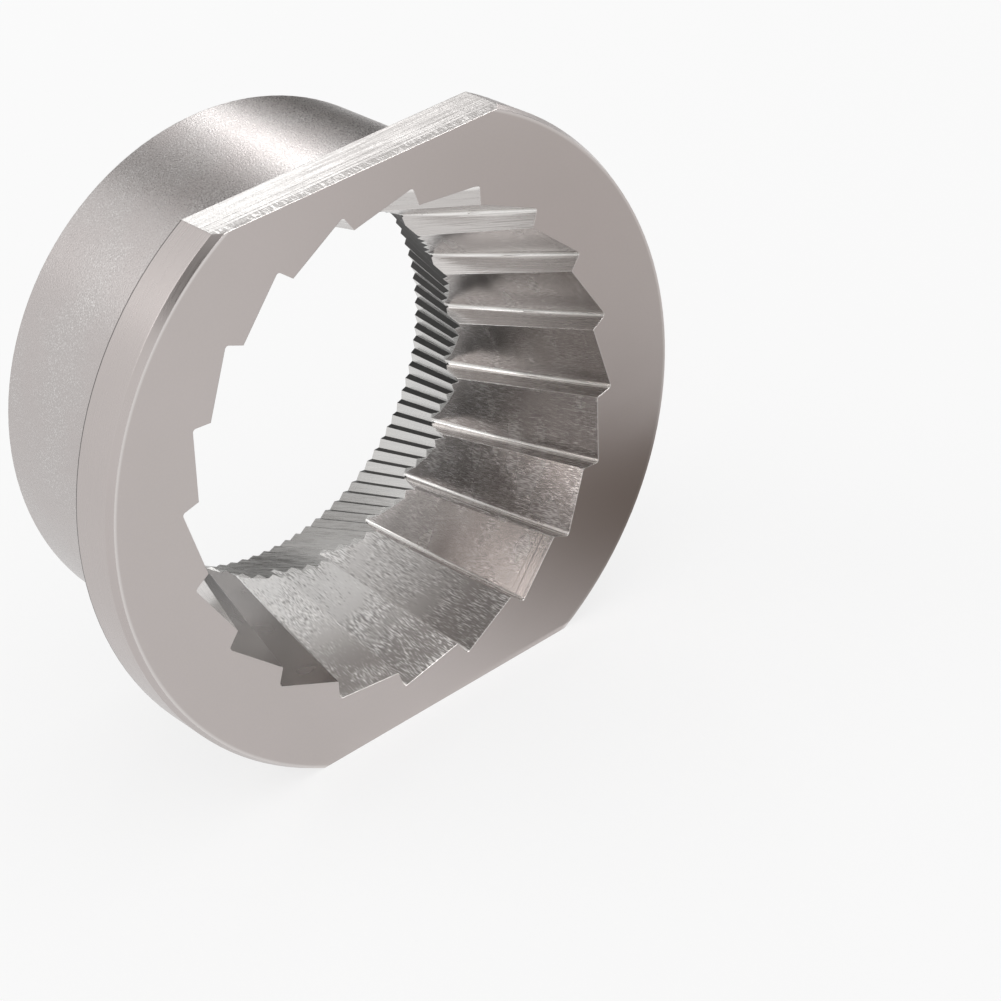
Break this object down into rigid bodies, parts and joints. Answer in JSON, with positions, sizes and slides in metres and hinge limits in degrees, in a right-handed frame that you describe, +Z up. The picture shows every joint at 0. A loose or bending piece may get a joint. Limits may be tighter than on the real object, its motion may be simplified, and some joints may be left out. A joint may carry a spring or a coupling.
{
  "type": "coffee grinder ring burr",
  "caption": "Flanged outer ring burr of a conical coffee grinder: hourglass bore with coarse sawteeth at the mouth, fine teeth at the exit, and flats on the flange.",
  "frame": {"origin": "on the surface that the lower flat stands on, under the middle of the ring's length and on its centre line", "axes": "the bore runs along Y, with the mouth (flange and coarse teeth) facing -Y and the exit (collar end, fine teeth) facing +Y; +X runs along the flats; +Z is up, square to the flats"},
  "size_m": [0.06, 0.0246, 0.0523],
  "materials": {
    "burr_steel": "satin turned and milled hardened steel, brighter on the flats and tooth flanks"
  },
  "bodies": {
    "root": {"ring_burr": "burr_steel"}
  },
  "joints": []
}
